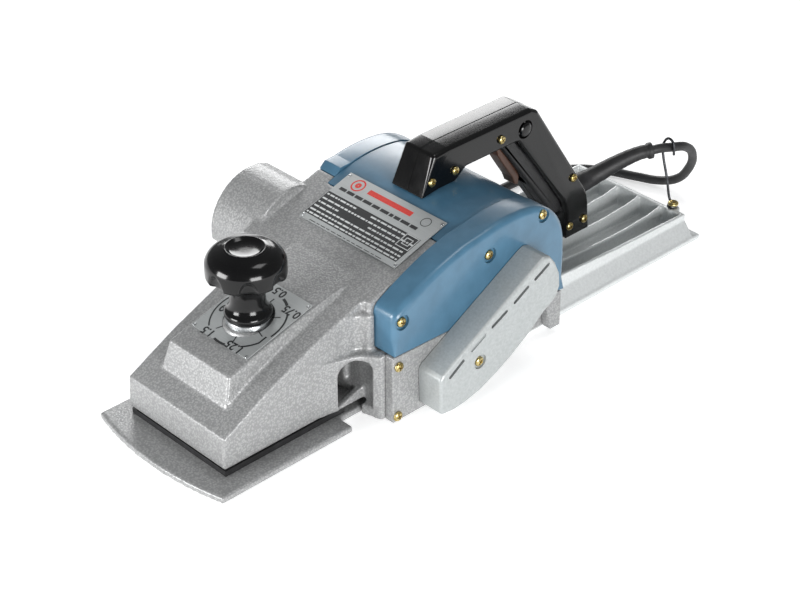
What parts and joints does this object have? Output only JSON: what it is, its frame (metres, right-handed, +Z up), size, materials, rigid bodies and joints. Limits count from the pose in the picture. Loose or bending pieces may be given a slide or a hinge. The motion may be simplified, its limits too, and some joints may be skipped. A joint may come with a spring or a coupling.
{
  "type": "electric carpenter's planer",
  "caption": "Large hand-held electric wood planer with a split sole, belt-driven cutter drum, front depth knob, rear handle with trigger, side chip chute and mains lead.",
  "frame": {"origin": "on the sole, on the centre line, half-way between the ends of the two-part sole", "axes": "+X forwards along the sole to the depth-knob end, +Y to the operator's left, the belt side, +Z up"},
  "size_m": [0.5772, 0.3088, 0.1575],
  "materials": {
    "hammered_enamel": "hammered silver-grey enamel on cast aluminium",
    "silver_casting": "fine silver enamel on cast aluminium",
    "blue_paint": "semi-gloss blue paint on cast aluminium",
    "black_bakelite": "polished black phenolic moulding",
    "brown_plastic": "dark brown moulding",
    "bright_steel": "ground or turned steel",
    "laminated_steel": "dark electrical steel or blackened wire",
    "yellow_zinc": "yellow zinc plating",
    "label_aluminium": "printed aluminium plate",
    "copper": "copper and brass",
    "black_rubber": "black flexible sheath"
  },
  "bodies": {
    "planer_body": {"main_frame": "hammered_enamel", "belt_side_plate": "hammered_enamel", "motor_housing": "blue_paint", "belt_side_cover": "blue_paint", "chute_side_cover": "blue_paint", "rear_base": "silver_casting", "belt_cover": "silver_casting", "belt_cover_screw": "yellow_zinc", "drive_belt": "black_rubber", "drum_bearing_near": "bright_steel", "drum_bearing_far": "bright_steel", "motor_bearing_near": "bright_steel", "motor_bearing_far": "bright_steel", "stator": "laminated_steel", "brush_holder_front": "copper", "brush_holder_rear": "copper", "scale_plate": "label_aluminium", "rating_plate": "label_aluminium", "handle_left": "black_bakelite", "handle_right": "black_bakelite", "switch_body": "black_rubber", "trigger_pin": "bright_steel", "cord_guard": "black_rubber", "cord": "black_rubber", "cord_coil": "black_rubber", "cord_tail": "black_rubber", "plug": "black_rubber", "cord_hanger": "laminated_steel", "hanger_screw": "yellow_zinc", "top_cover_screw": "yellow_zinc", "middle_cover_screw": "yellow_zinc", "front_cover_screw": "yellow_zinc", "upper_plate_screw": "yellow_zinc", "lower_plate_screw": "yellow_zinc", "shoe_spring": "bright_steel", "handle_screw_1": "yellow_zinc", "handle_screw_2": "yellow_zinc", "handle_screw_3": "yellow_zinc", "handle_screw_4": "yellow_zinc", "handle_screw_5": "yellow_zinc", "handle_screw_6": "yellow_zinc"},
    "front_shoe": {"front_shoe": "hammered_enamel", "shoe_seal": "black_rubber"},
    "depth_knob": {"depth_knob": "black_bakelite", "knob_ring": "bright_steel", "depth_spindle": "bright_steel", "spindle_clip": "bright_steel"},
    "cutter": {"cutter_drum": "bright_steel", "knife_1": "bright_steel", "knife_2": "bright_steel", "knife_clamp_1": "bright_steel", "knife_clamp_2": "bright_steel", "drum_pulley": "bright_steel"},
    "rotor": {"armature": "laminated_steel", "commutator": "copper", "cooling_fan": "brown_plastic", "motor_pulley": "bright_steel"},
    "trigger": {"trigger": "brown_plastic"},
    "lock_button": {"lock_button": "black_bakelite"}
  },
  "joints": [
    {"name": "knob_turn", "type": "hinge", "parent": "planer_body", "child": "depth_knob", "pos_m": [0.1655, 0, 0.09], "axis": [0, 0, 1], "range_deg": [-308.6, 0]},
    {"name": "shoe_slide", "type": "slide", "parent": "planer_body", "child": "front_shoe", "axis": [0, 0, 1], "range_m": [0, 0.0015], "deforming": ["shoe_spring"]},
    {"name": "cutter_spin", "type": "hinge", "parent": "planer_body", "child": "cutter", "pos_m": [0.056, 0, 0.028], "axis": [0, 1, 0], "continuous": true},
    {"name": "rotor_spin", "type": "hinge", "parent": "planer_body", "child": "rotor", "pos_m": [-0.018, 0, 0.068], "axis": [0, 1, 0], "continuous": true},
    {"name": "trigger_pull", "type": "hinge", "parent": "planer_body", "child": "trigger", "pos_m": [-0.088, 0, 0.136], "axis": [0, 1, 0], "range_deg": [0, 5], "stiffness_Nm_per_rad": 0.6, "springref_deg": -11.46},
    {"name": "lock_press", "type": "slide", "parent": "planer_body", "child": "lock_button", "axis": [0, -1, 0], "range_m": [0, 0.0025], "stiffness_N_per_m": 400, "springref_m": -0.002}
  ],
  "couplings": [
    {"joint": "knob_turn", "follows": "shoe_slide", "rad_per_m": -3590.7},
    {"joint": "rotor_spin", "follows": "cutter_spin", "ratio": 0.90625}
  ]
}
